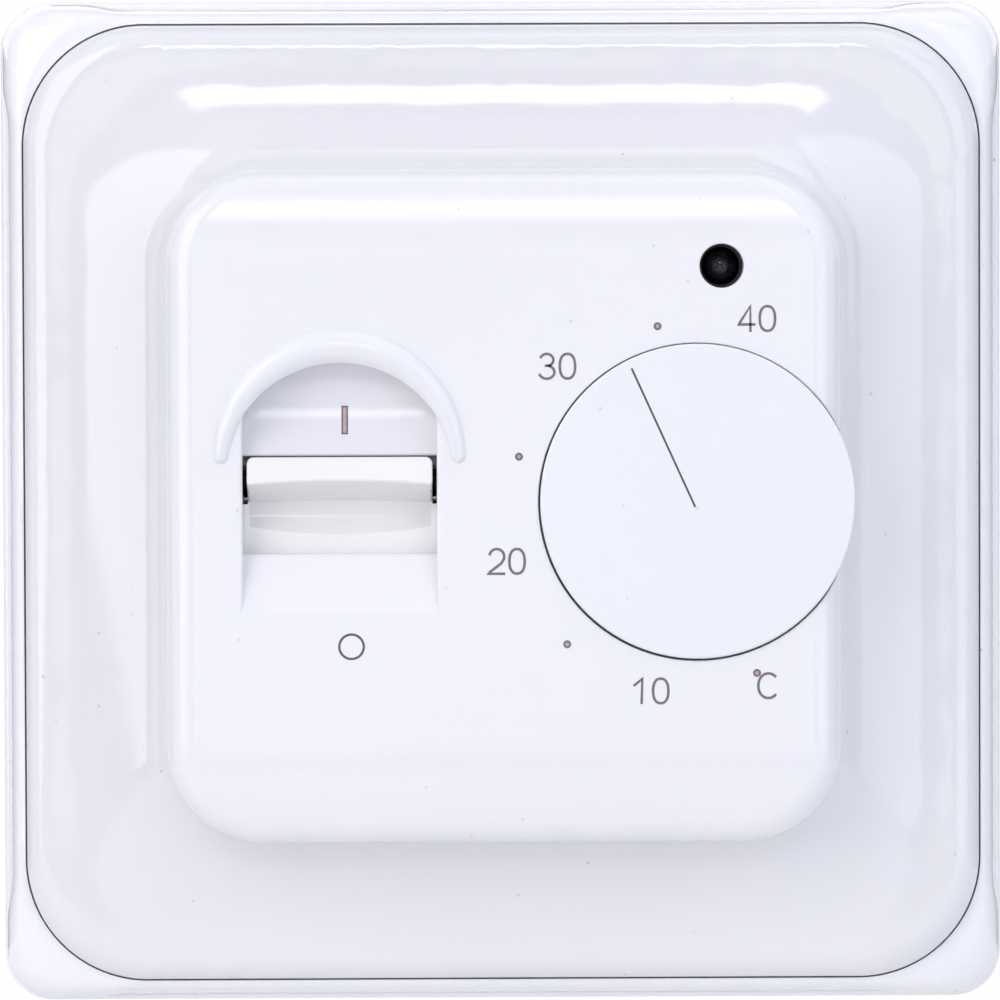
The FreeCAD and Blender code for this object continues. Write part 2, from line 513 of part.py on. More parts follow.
def make_switch():
    """Slide switch on the power board: body, carriage with fork, bridge strips, fixed contacts."""
    floor_z, deck_z, top_z = -10.2, -4.4, -3.2
    y0 = PIVOT_Y
    travel = 2 * ARM_LENGTH * math.sin(math.radians(LEVER_TILT))
    rest_y = y0 - travel / 2
    body = box(LEVER_X - 7.5, LEVER_X + 7.5, y0 - 10, y0 + 10, POWER_Z + BOARD_T, top_z)
    body = body.cut(box(LEVER_X - 5, LEVER_X + 5, y0 - 7, y0 + 7, floor_z, deck_z))
    body = body.cut(box(LEVER_X - 2.6, LEVER_X + 2.6, y0 - 4.9, y0 + 4.9, deck_z - 1, top_z + 1))
    contacts = [box(LEVER_X + sx * 3.2 - 0.9, LEVER_X + sx * 3.2 + 0.9, y0 + sy - 1.1, y0 + sy + 1.1,
                    POWER_Z + BOARD_T + 0.2, floor_z) for sx in (-1, 1) for sy in (-4.6, 4.0)]
    for contact in contacts:
        body = body.cut(contact)
    carriage = box(LEVER_X - 4.7, LEVER_X + 4.7, rest_y - 4.6, rest_y + 4.6, -9.7, deck_z - 0.25)
    for side in (-1, 1):
        inner, outer = side * (ARM_TIP_R + 0.12), side * 2.4
        prong = box(LEVER_X - 1.8, LEVER_X + 1.8, rest_y + min(inner, outer), rest_y + max(inner, outer),
                    deck_z - 0.5, -0.9)
        carriage = carriage.fuse(prong)
    strips = [box(LEVER_X + sx * 3.2 - 0.7, LEVER_X + sx * 3.2 + 0.7, rest_y - 4.0, rest_y + 4.0,
                  -10.13, -9.7) for sx in (-1, 1)]
    return body, carriage, strips, contacts


# ---- base module ----
def round_square(half, round_r, z0, z1):
    """The flush-box footprint: a square whose corners are cut by a circle."""
    return box(-half, half, -half, half, z0, z1).common(disc(round_r, z0, z1))


def make_front_housing():
    z0, z1, roof = PLATE_T, 9.6, 8.2     # the roof is 1.4 thick
    body = rounded_block(HOUSING_HALF - 0.2, HOUSING_HALF - 0.2, 4.0, z0, z1)
    body = body.cut(rounded_block(23.3, 23.3, 2.6, z0 - 1, roof))
    for x, y in BOSSES:
        body = body.fuse(disc(2.9, z0, z1, x, y)).cut(disc(1.35, 0, 20, x, y))
        body = body.cut(disc(2.35, 4.6, 20, x, y))
    body = body.fuse(disc(2.0, z0, z1, *COVER_SCREW)).cut(disc(1.22, 3.0, 20, *COVER_SCREW))
    slot_half, slot_reach = PLATE_HALF_X + 0.2, LEVER_SWEEP_R + 0.2
    for x0, x1 in ((-23.6, LEVER_X - slot_half), (LEVER_X + slot_half, -4.0)):
        body = body.fuse(box(x0, x1, PIVOT_Y - 3.2, PIVOT_Y + 3.2, 3.1, roof + 0.5))
    body = body.cut(box(LEVER_X - slot_half, LEVER_X + slot_half, PIVOT_Y - slot_reach,
                        PIVOT_Y + slot_reach, 0, 20))
    body = body.cut(rod_x(0.8, -23.2, -4.3, PIVOT_Y, PIVOT_Z))
    body = body.cut(disc(3.7, 5, 20, KNOB_X, KNOB_Y)).cut(disc(2.55, 5, 20, LED_X, LED_Y))
    for turn in (1, 3):      # windows for the cover's snap lugs
        body = body.cut(around(box(24.2, 26, -17.0, -12.0, 2.6, 4.9), turn))
    for x in (-8.0, 0.0, 8.0):   # air slots over the board, above and below
        body = body.cut(box(x - 2.5, x + 2.5, 14.0, 15.2, 5, 20)).cut(box(x - 2.5, x + 2.5, 17, 18.2, 5, 20))
        body = body.cut(box(x - 2.5, x + 2.5, -18.2, -17, 5, 20))
    return body


def make_rear_housing():
    half, round_r, wall = HOUSING_HALF, HOUSING_ROUND_R, 1.6
    back, floor = -HOUSING_DEPTH, STEP_Z - 1.5
    body = round_square(half, round_r, floor, 0)
    deep = box(-half, half, -6.6, half, back, floor + 0.01).common(disc(round_r, back, floor + 0.01))
    rim = [e for e in deep.Edges if abs(e.CenterOfMass.z - back) < 1e-6]
    body = body.fuse(deep.makeFillet(0.9, rim))
    body = body.cut(round_square(half - wall, round_r - wall, STEP_Z, 1))
    body = body.cut(round_square(half - wall, round_r - wall, back + 1.8, STEP_Z + 0.1)
                    .common(box(-half, half, -6.6 + 1.4, half, back, 0)))
    for x, y in BOSSES:
        body = body.fuse(disc(2.6, STEP_Z - 0.2, -0.0, x, y)).cut(disc(1.27, -11.5, 1, x, y))
    body = body.cut(box(-20.45, 20.45, -18.75, -7.45, floor - 1, STEP_Z + 1))
    for x0, x1 in ((-23.6, -21.8), (21.8, 23.6)):    # ledges the power board rests on
        for y in (-14.0, 0.0, 12.0):
            body = body.fuse(box(x0, x1, y, y + 1.5, STEP_Z - 1.4, POWER_Z))
    for x in (-9.5, 8.0):
        body = body.fuse(box(x, x + 1.5, 21.8, 23.6, STEP_Z - 1.4, POWER_Z))
    for slot in range(6):
        x = -12.5 + 5.0 * slot
        body = body.cut(box(x - 0.7, x + 0.7, 12.0, 20.5, back - 1, back + 2.5))
        body = body.cut(box(x - 0.7, x + 0.7, 23, 26, -22, -17))
    body = body.cut(box(-15.5, 15.5, -4.6, 9.4, back - 1, back + 0.25))
    return body


def make_mounting_plate():
    plate = rounded_block(PLATE_HALF, PLATE_HALF, 2.0, 0, PLATE_T)
    chamfer = box(-44.5, 44.5, -44.5, 44.5, -1, 3)
    chamfer.rotate(Vector(), Vector(0, 0, 1), 45)
    plate = plate.common(chamfer)
    opening = box(-22.9, 22.9, -22.9, 22.9, -1, 2)
    webs = box(-22.6, 22.6, -22.6, 22.6, -2, 3)
    webs.rotate(Vector(), Vector(0, 0, 1), 45)
    opening = opening.common(webs)
    plate = plate.cut(opening)
    reach = FIXING_SPACING / 2
    straight = SLOT_LENGTH / 2 - SLOT_R
    for turn in range(4):
        slot = box(reach - straight, reach + straight, -SLOT_R, SLOT_R, -1, 2)
        slot = slot.fuse(disc(SLOT_R, -1, 2, reach - straight)).fuse(disc(SLOT_R, -1, 2, reach + straight))
        plate = plate.cut(around(slot, turn))
        plate = plate.cut(around(box(29.5, 32.5, 12.5, 19.5, -1, 2), turn))
    for x, y in BOSSES:
        plate = plate.cut(disc(1.4, -1, 2, x, y))
    return plate


def board_blank(half, round_r, z0):
    blank = round_square(half, round_r, z0, z0 + BOARD_T)
    for x, y in BOSSES:
        blank = blank.cut(disc(3.2, z0 - 1, z0 + 3, x, y))
    return blank


def make_control_board():
    board = board_blank(23.0, 31.0, CONTROL_Z)
    board = board.cut(disc(2.6, 0, 9, *COVER_SCREW))
    return board.cut(box(LEVER_X - 2.6, LEVER_X + 2.6, PIVOT_Y - 4.2, PIVOT_Y + 4.2, 0, 9))


def make_terminals():
    """Terminal strip, its screws and its wire clamps; wires enter from below, screws face the back."""
    z0, z1 = -25.2, POWER_Z
    block = box(-20.3, 20.3, -18.6, -7.6, z0, z1)
    long_rim = [e for e in block.Edges if abs(e.CenterOfMass.z - z0) < 1e-6 and e.Length > 20]
    block = block.makeChamfer(0.8, long_rim)
    screws, clamps = [], []
    for pole in range(TERMINALS):
        x = (pole - (TERMINALS - 1) / 2) * TERMINAL_PITCH
        block = block.cut(disc(1.85, z0 - 1, -19.4, x, -12.9))
        block = block.cut(box(x - 1.75, x + 1.75, -19, -10.4, -19.5, -15.5))
        if pole:
            block = block.cut(box(x - 2.7, x - 2.3, -19, -17.6, z0 - 1, -15))
        screws.append(screw(1.7, 1.5, 1.15, 4.0, x, -12.9, -23.2, out=-1, slot=0.45))
        cage = box(x - 1.6, x + 1.6, -16.6, -10.7, -19.2, -15.7)
        cage = cage.cut(box(x - 1.15, x + 1.15, -17, -10.2, -18.75, -16.2))
        clamps.append(cage)
    return block, screws, clamps


def make_relay():
    case = box(1.0, 11.2, -17.0, 11.5, POWER_Z + BOARD_T + 0.3, 0.4)
    upright = [e for e in case.Edges if e.BoundBox.ZLength > 5]
    case = case.makeFillet(0.6, upright)
    feet = [box(x, x + 1.2, y, y + 1.2, POWER_Z + BOARD_T, POWER_Z + BOARD_T + 0.4)
            for x in (1.2, 9.8) for y in (-16.8, 10.1)]
    return case.multiFuse(feet)


def make_small_parts():
    front, back = POWER_Z + BOARD_T, POWER_Z
    film = box(-16.0, 10.0, -4.4, 4.6, back - 10.4, back - 0.3)
    film = film.makeFillet(0.8, film.Edges)
    can = disc(4.0, front + 0.2, -0.3, 17.6, 5.0)
    can = can.makeFillet(0.5, [e for e in can.Edges if abs(e.CenterOfMass.z + 0.3) < 1e-6])
    varistor = rod_y(4.6, -9.8, -6.2, 17.8, front + 5.2)
    varistor = varistor.makeFillet(1.4, [e for e in varistor.Edges if len(e.Vertexes) == 1])
    resistor = rod_x(2.2, -9.0, 4.0, 10.5, back - 3.2)
    resistor = resistor.makeFillet(0.7, [e for e in resistor.Edges if len(e.Vertexes) == 1])
    sleeve = rod_x(2.6, -16.0, 4.0, 16.5, back - 3.2)
    sleeve = sleeve.makeFillet(1.0, [e for e in sleeve.Edges if len(e.Vertexes) == 1])
    chip = box(-3.4, 0.4, -14.0, -8.0, CONTROL_Z + BOARD_T, CONTROL_Z + BOARD_T + 1.6)
    pins = [box(x - 0.32, x + 0.32, 20.7, 21.34, front, CONTROL_Z) for x in
            [2.54 * n - 8.89 for n in range(8)]]
    return film, can, varistor, resistor, sleeve, chip, pins


def make_indicator():
    """Black stand-off cup and the 3 mm lamp in it, seen down the hole in the cover."""
    floor = CONTROL_Z + BOARD_T
    cup = disc(2.4, floor, 13.3, LED_X, LED_Y).cut(disc(1.62, 8.9, 14, LED_X, LED_Y))
    cup = cup.cut(box(LED_X - 1.7, LED_X - 0.8, LED_Y - 0.4, LED_Y + 0.4, floor - 1, 9))
    cup = cup.cut(box(LED_X + 0.8, LED_X + 1.7, LED_Y - 0.4, LED_Y + 0.4, floor - 1, 9))
    lamp = disc(1.5, 8.9, 11.4, LED_X, LED_Y)
    lamp = lamp.fuse(Part.makeSphere(1.5, Vector(LED_X, LED_Y, 11.4)))
    leads = [box(LED_X + s * 1.27 - 0.25, LED_X + s * 1.27 + 0.25, LED_Y - 0.25, LED_Y + 0.25, floor, 8.9)
             for s in (-1, 1)]
    return cup, lamp, leads


# ---- write the sub-parts ----
os.makedirs("parts", exist_ok=True)

save("outer_frame", make_outer_frame())
save("trim_frame", make_trim_frame())
save("centre_cover", make_centre_cover())
save("setpoint_knob", make_setpoint_knob())
pot_can, pot_shaft, pot_wiper = make_potentiometer()
save("potentiometer_can", pot_can)
save("potentiometer_shaft", pot_shaft)
save("potentiometer_wiper", pot_wiper)
save("power_lever", make_power_lever())
save("lever_pivot_pin", rod_x(0.8, -23.2, -4.3, PIVOT_Y, PIVOT_Z))
switch_body, switch_carriage, bridge_strips, fixed_contacts = make_switch()
save("switch_body", switch_body)
save("switch_carriage", switch_carriage)
save("bridge_contacts", *bridge_strips)
save("fixed_contacts", *fixed_contacts)
save("front_housing", make_front_housing())
save("rear_housing", make_rear_housing())
save("mounting_plate", make_mounting_plate())
save("base_screws", *[screw(2.15, 1.5, 1.25, 15.0, x, y, 4.6) for x, y in BOSSES])
save("cover_screw", screw(2.2, 1.6, 1.2, 8.5, *COVER_SCREW, POCKET_Z))
save("control_board", make_control_board())
save("power_board", board_blank(23.0, 26.9, POWER_Z))
terminal_strip, terminal_screws, terminal_clamps = make_terminals()
save("terminal_strip", terminal_strip)
save("terminal_screws", *terminal_screws)
save("terminal_clamps", *terminal_clamps)
save("relay", make_relay())
film_cap, can_cap, disc_varistor, power_resistor, fuse_sleeve, control_chip, header_pins = make_small_parts()
save("film_capacitor", film_cap)
save("smoothing_capacitor", can_cap)
save("varistor", disc_varistor)
save("power_resistor", power_resistor)
save("thermal_fuse", fuse_sleeve)
save("control_chip", control_chip)
save("board_link_pins", *header_pins)
lamp_cup, lamp_body, lamp_leads = make_indicator()
save("indicator_cup", lamp_cup)
save("indicator_lamp", lamp_body)
save("indicator_leads", *lamp_leads)
save("rating_label", box(-15.2, 15.2, -4.3, 9.1, -HOUSING_DEPTH + 0.1, -HOUSING_DEPTH + 0.25))
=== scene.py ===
import json
import math

import bpy
from mathutils import Matrix, Vector


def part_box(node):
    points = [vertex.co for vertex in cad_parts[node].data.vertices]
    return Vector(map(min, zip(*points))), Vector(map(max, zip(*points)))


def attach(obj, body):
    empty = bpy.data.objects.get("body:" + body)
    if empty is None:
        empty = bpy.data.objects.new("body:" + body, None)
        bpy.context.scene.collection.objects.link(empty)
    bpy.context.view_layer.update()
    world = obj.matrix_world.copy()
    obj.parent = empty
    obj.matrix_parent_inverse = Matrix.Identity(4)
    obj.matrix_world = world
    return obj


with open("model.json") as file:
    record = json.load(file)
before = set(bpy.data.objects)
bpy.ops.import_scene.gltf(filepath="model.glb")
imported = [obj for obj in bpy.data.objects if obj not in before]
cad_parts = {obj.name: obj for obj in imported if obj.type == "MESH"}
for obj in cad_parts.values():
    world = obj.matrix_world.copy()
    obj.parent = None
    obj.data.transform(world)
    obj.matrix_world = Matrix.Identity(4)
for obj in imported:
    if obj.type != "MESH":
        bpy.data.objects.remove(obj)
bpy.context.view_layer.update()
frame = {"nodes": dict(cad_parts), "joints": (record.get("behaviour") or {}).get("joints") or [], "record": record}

MM = 0.001
NODES = frame["nodes"]
scene = bpy.context.scene


# ---------------------------------------------------------------- node materials
def new_material(name):
    material = bpy.data.materials.new(name)
    material.use_nodes = True
    tree = material.node_tree
    return material, tree, tree.nodes["Principled BSDF"]


def link(tree, source, target):
    tree.links.new(source, target)


def texture_space(tree, stretch=(1.0, 1.0, 1.0)):
    coordinates = tree.nodes.new("ShaderNodeTexCoord")
    mapping = tree.nodes.new("ShaderNodeMapping")
    mapping.inputs["Scale"].default_value = stretch
    link(tree, coordinates.outputs["Object"], mapping.inputs["Vector"])
    return mapping.outputs["Vector"]


def noise(tree, space, scale, detail=2.0, roughness=0.5):
    node = tree.nodes.new("ShaderNodeTexNoise")
    node.inputs["Scale"].default_value = scale
    node.inputs["Detail"].default_value = detail
    node.inputs["Roughness"].default_value = roughness
    link(tree, space, node.inputs["Vector"])
    return node.outputs["Fac"]


def span(tree, value, low, high, out_low, out_high):
    node = tree.nodes.new("ShaderNodeMapRange")
    for key, number in (("From Min", low), ("From Max", high), ("To Min", out_low), ("To Max", out_high)):
        node.inputs[key].default_value = number
    link(tree, value, node.inputs["Value"])
    return node.outputs["Result"]


def blend_colours(tree, factor, first, second):
    node = tree.nodes.new("ShaderNodeMix")
    node.data_type = "RGBA"
    link(tree, factor, node.inputs["Factor"])
    for key, colour in (("A", first), ("B", second)):
        socket = next(s for s in node.inputs if s.name == key and s.type == "RGBA")
        if isinstance(colour, tuple):
            socket.default_value = (*colour, 1.0)
        else:
            link(tree, colour, socket)
    return next(s for s in node.outputs if s.type == "RGBA")


def combine(tree, operation, first, second):
    node = tree.nodes.new("ShaderNodeMath")
    node.operation = operation
    for socket, value in zip(node.inputs, (first, second)):
        if isinstance(value, (int, float)):
            socket.default_value = value
        else:
            link(tree, value, socket)
    return node.outputs[0]


def seeds(tree, space, scale, reach):
    """1 within reach (in cells) of scattered points, 0 elsewhere."""
    node = tree.nodes.new("ShaderNodeTexVoronoi")
    node.inputs["Scale"].default_value = scale
    link(tree, space, node.inputs["Vector"])
    return span(tree, node.outputs["Distance"], reach, reach * 0.55, 0.0, 1.0)


def bump(tree, shader, height, strength, distance):
    node = tree.nodes.new("ShaderNodeBump")
    node.inputs["Strength"].default_value = strength
    node.inputs["Distance"].default_value = distance
    link(tree, height, node.inputs["Height"])
    link(tree, node.outputs["Normal"], shader.inputs["Normal"])


def tone(colour, factor):
    return tuple(min(1.0, c * factor) for c in colour)


def gloss_plastic(name, colour, roughness=0.12, specks=0.6, orange_peel=0.05, clouding=0.012):
    """Injection-moulded gloss white: faint clouding, dust specks, hairline scratches, orange peel."""
    material, tree, shader = new_material(name)
    space = texture_space(tree)
    cloud = noise(tree, space, 32.0, 3.0)
    base = blend_colours(tree, span(tree, cloud, 0.3, 0.7, 0.0, 1.0), tone(colour, 1 - clouding),
                         tone(colour, 1 + clouding))
    dust = combine(tree, "MULTIPLY", seeds(tree, space, 290.0, 0.05), specks)
    base = blend_colours(tree, dust, base, tone(colour, 0.42))
    streaks = seeds(tree, texture_space(tree, (1.0, 1.0, 0.07)), 260.0, 0.035)
    link(tree, base, shader.inputs["Base Color"])
    haze = span(tree, noise(tree, space, 75.0, 4.0, 0.6), 0.3, 0.72, roughness * 0.75, roughness * 1.35)
    link(tree, combine(tree, "ADD", haze, combine(tree, "MULTIPLY", streaks, 0.25)),
         shader.inputs["Roughness"])
    shader.inputs["IOR"].default_value = 1.5
    peel = noise(tree, space, 620.0, 1.0)
    bump(tree, shader, peel, orange_peel, 0.00002)
    return material


def satin_plastic(name, colour, roughness=0.45, grain=2600.0, relief=0.35, wear=1.35):
    """Spark-eroded satin plastic: fine grain, cloudy sheen, a little rubbing."""
    material, tree, shader = new_material(name)
    space = texture_space(tree)
    rub = span(tree, noise(tree, space, 120.0, 5.0, 0.65), 0.52, 0.72, 0.0, 0.6)
    base = blend_colours(tree, rub, colour, tone(colour, wear))
    link(tree, base, shader.inputs["Base Color"])
    link(tree, span(tree, noise(tree, space, 210.0, 3.0), 0.3, 0.7, roughness - 0.08, roughness + 0.12),
         shader.inputs["Roughness"])
    bump(tree, shader, noise(tree, space, grain, 2.0, 0.7), relief, 0.00003)
    return material


def plated_metal(name, colour, roughness=0.3, brushed=(1.0, 1.0, 1.0), stain=0.7):
    """Plated or drawn metal: directional grain, spangle, dull patches."""
    material, tree, shader = new_material(name)
    grain_space = texture_space(tree, brushed)
    space = texture_space(tree)
    patch = span(tree, noise(tree, space, 95.0, 6.0, 0.7), 0.45, 0.75, 0.0, 1.0)
    link(tree, blend_colours(tree, patch, colour, tone(colour, stain)), shader.inputs["Base Color"])
    link(tree, span(tree, noise(tree, grain_space, 900.0, 3.0), 0.3, 0.7, roughness - 0.1, roughness + 0.15),
         shader.inputs["Roughness"])
    shader.inputs["Metallic"].default_value = 1.0
    bump(tree, shader, noise(tree, grain_space, 1800.0, 2.0), 0.2, 0.00002)
    return material


def circuit_board(name):
    """Green solder mask with darker and lighter runs, as tracks under the mask."""
    material, tree, shader = new_material(name)
    bricks = tree.nodes.new("ShaderNodeTexBrick")
    bricks.inputs["Scale"].default_value = 210.0
    bricks.inputs["Color1"].default_value = (0.018, 0.13, 0.05, 1)
    bricks.inputs["Color2"].default_value = (0.03, 0.19, 0.075, 1)
    bricks.inputs["Mortar"].default_value = (0.01, 0.075, 0.03, 1)
    turned = tree.nodes.new("ShaderNodeMapping")
    turned.inputs["Rotation"].default_value = (math.radians(90), 0, 0)
    link(tree, texture_space(tree), turned.inputs["Vector"])
    link(tree, turned.outputs["Vector"], bricks.inputs["Vector"])
    space = texture_space(tree)
    mask = span(tree, noise(tree, space, 60.0, 3.0), 0.35, 0.65, 0.0, 0.6)
    link(tree, blend_colours(tree, mask, bricks.outputs["Color"], (0.02, 0.12, 0.055)),
         shader.inputs["Base Color"])
    link(tree, span(tree, noise(tree, space, 300.0), 0.3, 0.7, 0.22, 0.42), shader.inputs["Roughness"])
    bump(tree, shader, bricks.outputs["Fac"], 0.25, 0.00004)
    return material


def ink(name, colour, patchy=0.35):
    """Pad-printed ink: slightly uneven cover, satin."""
    material, tree, shader = new_material(name)
    space = texture_space(tree)
    thin = span(tree, noise(tree, space, 2200.0, 3.0), 0.35, 0.75, 0.0, patchy)
    link(tree, blend_colours(tree, thin, colour, tone(colour, 2.2)), shader.inputs["Base Color"])
    link(tree, span(tree, noise(tree, space, 900.0), 0.3, 0.7, 0.35, 0.6), shader.inputs["Roughness"])
    bump(tree, shader, noise(tree, space, 3000.0), 0.2, 0.00001)
    return material


def smoked_lens(name):
    """The unlit lamp: dark translucent epoxy with a lighter heart."""
    material, tree, shader = new_material(name)
    space = texture_space(tree)
    heart = span(tree, noise(tree, space, 700.0, 2.0), 0.4, 0.7, 0.0, 1.0)
    link(tree, blend_colours(tree, heart, (0.010, 0.008, 0.014), (0.030, 0.022, 0.030)),
         shader.inputs["Base Color"])
    link(tree, span(tree, noise(tree, space, 500.0), 0.3, 0.7, 0.08, 0.2), shader.inputs["Roughness"])
    shader.inputs["Coat Weight"].default_value = 0.1
    return material


WHITE = (0.765, 0.761, 0.813)
MATERIALS = {
    "white_frame": gloss_plastic("frame white", tone(WHITE, 1.06), 0.10),
    "white_trim": gloss_plastic("trim white", tone(WHITE, 0.95), 0.07, 0.45),
    "white_cover": gloss_plastic("cover white", WHITE, 0.14, 0.3),
    "white_knob": gloss_plastic("dial white", (0.754, 0.765, 0.813), 0.16, 0.3),
    "white_lever": gloss_plastic("lever white", (0.78, 0.77, 0.785), 0.18, 0.4),
    "grey_housing": satin_plastic("housing grey", (0.045, 0.047, 0.05)),
    "zinc_steel": plated_metal("zinc plate", (0.56, 0.565, 0.58), 0.34, (1.0, 1.0, 0.08)),
    "plated_screw": plated_metal("screw zinc", (0.60, 0.60, 0.60), 0.28),
    "pcb": circuit_board("solder mask"),
    "terminal_plastic": satin_plastic("terminal plastic", (0.10, 0.105, 0.11), 0.5),
    "clamp_metal": plated_metal("clamp tin", (0.66, 0.65, 0.60), 0.3),
    "brass_contact": plated_metal("contact brass", (0.70, 0.50, 0.24), 0.26),
    "potentiometer_blue": satin_plastic("potentiometer body", (0.035, 0.06, 0.15), 0.4),
    "shaft_white": satin_plastic("acetal white", (0.72, 0.71, 0.66), 0.4, wear=0.9),
    "wiper_brown": satin_plastic("wiper laminate", (0.11, 0.06, 0.03), 0.5),
    "relay_case": satin_plastic("relay case", (0.03, 0.035, 0.045), 0.35),
    "film_box": satin_plastic("film capacitor box", (0.60, 0.47, 0.12), 0.42, wear=0.85),
    "can_sleeve": satin_plastic("can sleeve", (0.02, 0.022, 0.05), 0.25),
    "varistor_blue": satin_plastic("varistor coat", (0.03, 0.09, 0.30), 0.3, 900.0, 0.6),
    "resistor_grey": satin_plastic("resistor coat", (0.12, 0.17, 0.14), 0.55),
    "fuse_sleeve": satin_plastic("fuse sleeve", (0.62, 0.58, 0.50), 0.6, wear=0.85),
    "chip_black": satin_plastic("chip epoxy", (0.015, 0.015, 0.017), 0.5),
    "cup_black": satin_plastic("cup black", (0.010, 0.008, 0.014), 0.6),
    "lamp_tint": smoked_lens("lamp epoxy"),
    "tinned_lead": plated_metal("tinned lead", (0.68, 0.68, 0.68), 0.25),
    "label_silver": satin_plastic("label foil", (0.60, 0.61, 0.62), 0.38, 1400.0, 0.2, 0.9),
    "carriage_black": satin_plastic("switch black", (0.02, 0.02, 0.022), 0.45),
    "pin_steel": plated_metal("pin steel", (0.58, 0.58, 0.59), 0.2, (0.1, 1.0, 1.0)),
}
INK_GREY = ink("print grey", (0.150, 0.120, 0.135))
INK_DARK = ink("print dark", (0.085, 0.080, 0.095))
INK_WARM = ink("print fill", (0.44, 0.33, 0.34), 0.15)      # the paler heart of a dot and of the I

for entry in frame["record"]["subparts"]:
    mesh = NODES[entry["node"]].data
    mesh.materials.clear()
    mesh.materials.append(MATERIALS[entry["material_slot"]])


# ---------------------------------------------------------------- mesh helpers
def make_object(name, vertices, faces, material, body):
    mesh = bpy.data.meshes.new(name)
    mesh.from_pydata(vertices, [], faces)
    mesh.update()
    mesh.materials.append(material)
    obj = bpy.data.objects.new(name, mesh)
    scene.collection.objects.link(obj)
    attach(obj, body)
    return obj


def ribbon(points, width, closed=False):
    """Left and right rails of a stroke of this width along a polyline in the face's (x, z) plane."""
    rails = []
    count = len(points)
    for index, here in enumerate(points):
        before = points[index - 1] if index or closed else here
        after = points[(index + 1) % count] if index + 1 < count or closed else here
        incoming, outgoing = (here - before), (after - here)
        incoming = incoming.normalized() if incoming.length else outgoing.normalized()
        outgoing = outgoing.normalized() if outgoing.length else incoming
        along = (incoming + outgoing).normalized()
        normal = Vector((-along.y, along.x))
        reach = width / 2 / max(0.5, normal.dot(Vector((-incoming.y, incoming.x))))
        rails.append((here + normal * reach, here - normal * reach))
    return rails


def print_strokes(name, strokes, width, front_y, thickness, material, body):
    """Strokes of ink on a face that looks along -Y: thin closed solids from front_y outwards."""
    vertices, faces = [], []
    for points, closed in strokes:
        rails = ribbon([Vector(p) for p in points], width, closed)
        base = len(vertices)
        for left, right in rails:
            for x, z in (left, right):
                vertices.append((x, front_y, z))
                vertices.append((x, front_y - thickness, z))
        count = len(rails)
        for index in range(count if closed else count - 1):
            a = base + 4 * index
            b = base + 4 * ((index + 1) % count)
            faces += [(a + 1, a + 3, b + 3, b + 1), (a, b, b + 2, a + 2),
                      (a, a + 1, b + 1, b), (a + 2, b + 2, b + 3, a + 3)]
        if not closed:
            end = base + 4 * (count - 1)
            faces += [(base, base + 2, base + 3, base + 1), (end, end + 1, end + 3, end + 2)]
    return make_object(name, vertices, faces, material, body)


def arc(cx, cy, rx, ry, start, end, steps=16, power=1.0):
    """Points on an ellipse, squared off a little when power is under 1."""
    points = []
    for index in range(steps + 1):
        angle = math.radians(start + (end - start) * index / steps)
        c, s = math.cos(angle), math.sin(angle)
        points.append((cx + rx * math.copysign(abs(c) ** power, c),
                       cy + ry * math.copysign(abs(s) ** power, s)))
    return points


# Glyphs as stroke centrelines: height 1, drawn about the middle of their own width.
GLYPHS = {
    "0": [(arc(0, 0.5, 0.31, 0.5, 0, 345, 23, 0.86), True)],
    "1": [([(-0.36, 0.70), (0.0, 0.99), (-0.03, -0.03)], False)],
    "2": [(arc(0.0, 0.70, 0.30, 0.30, 172, 0, 12) + [(0.28, 0.58), (0.18, 0.42), (-0.12, 0.19),
                                                   (-0.28, 0.07), (-0.33, 0.0), (0.34, 0.0)], False)],
    "3": [(arc(-0.02, 0.755, 0.27, 0.245, 165, -78, 14), False),
          ([(-0.10, 0.525), (0.02, 0.525)], False),
          (arc(-0.02, 0.26, 0.31, 0.265, 88, -166, 16), False)],
    "4": [([(0.34, 0.26), (-0.33, 0.26), (-0.30, 0.33), (0.13, 1.0), (0.13, -0.04)], False)],
    "C": [(arc(0.0, 0.5, 0.41, 0.5, 42, 318, 22, 0.95), False)],
}


# ---------------------------------------------------------------- the printed marks
JOINTS = {joint["name"]: joint for joint in frame["joints"]}
dial_x, _, dial_z = JOINTS["dial_turn"]["pos_m"]
knob_low, knob_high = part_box("setpoint_knob")
knob_r = (knob_high.x - knob_low.x) / 2
FACE_BELOW_KNOB = 0.4 * MM
face_y = knob_low.y + FACE_BELOW_KNOB
lever_x = JOINTS["lever_rock"]["pos_m"][0]

DIGIT_HEIGHT = 2.08 * MM
DIGIT_PITCH = 1.70 * MM
STROKE = 0.225 * MM
NARROW_ONE_SHIFT = 0.15 * MM            # a 1 stands right of its cell's middle
INK_THICKNESS = 0.012 * MM
DOT_R, DOT_HEART_R = 0.34 * MM, 0.15 * MM
HEART_THICKNESS = INK_THICKNESS * 0.8

# Each label's middle, across and up from the dial's axis, in millimetres.
SCALE_NUMBERS = {"10": (-4.0, -15.96), "20": (-16.06, -5.0), "30": (-11.77, 11.39), "40": (5.04, 15.34)}
UNIT_MARK = {"C": (5.92, -15.56)}
SCALE_DOTS = ((4.96, -14.48), (-11.01, -12.0), (-15.02, 3.80), (-3.34, 14.72))


def label_strokes(text, across, up):
    strokes = []
    first = across * MM - DIGIT_PITCH * (len(text) - 1) / 2
    for place, glyph in enumerate(text):
        x = dial_x + first + place * DIGIT_PITCH + (NARROW_ONE_SHIFT if glyph == "1" else 0.0)
        z = dial_z + up * MM - DIGIT_HEIGHT / 2
        for points, closed in GLYPHS[glyph]:
            strokes.append(([(x + px * DIGIT_HEIGHT, z + pz * DIGIT_HEIGHT) for px, pz in points], closed))
    return strokes


def ring_stroke(x, z, radius, steps=28):
    return ([(x + radius * math.cos(math.tau * i / steps), z + radius * math.sin(math.tau * i / steps))
             for i in range(steps)], True)


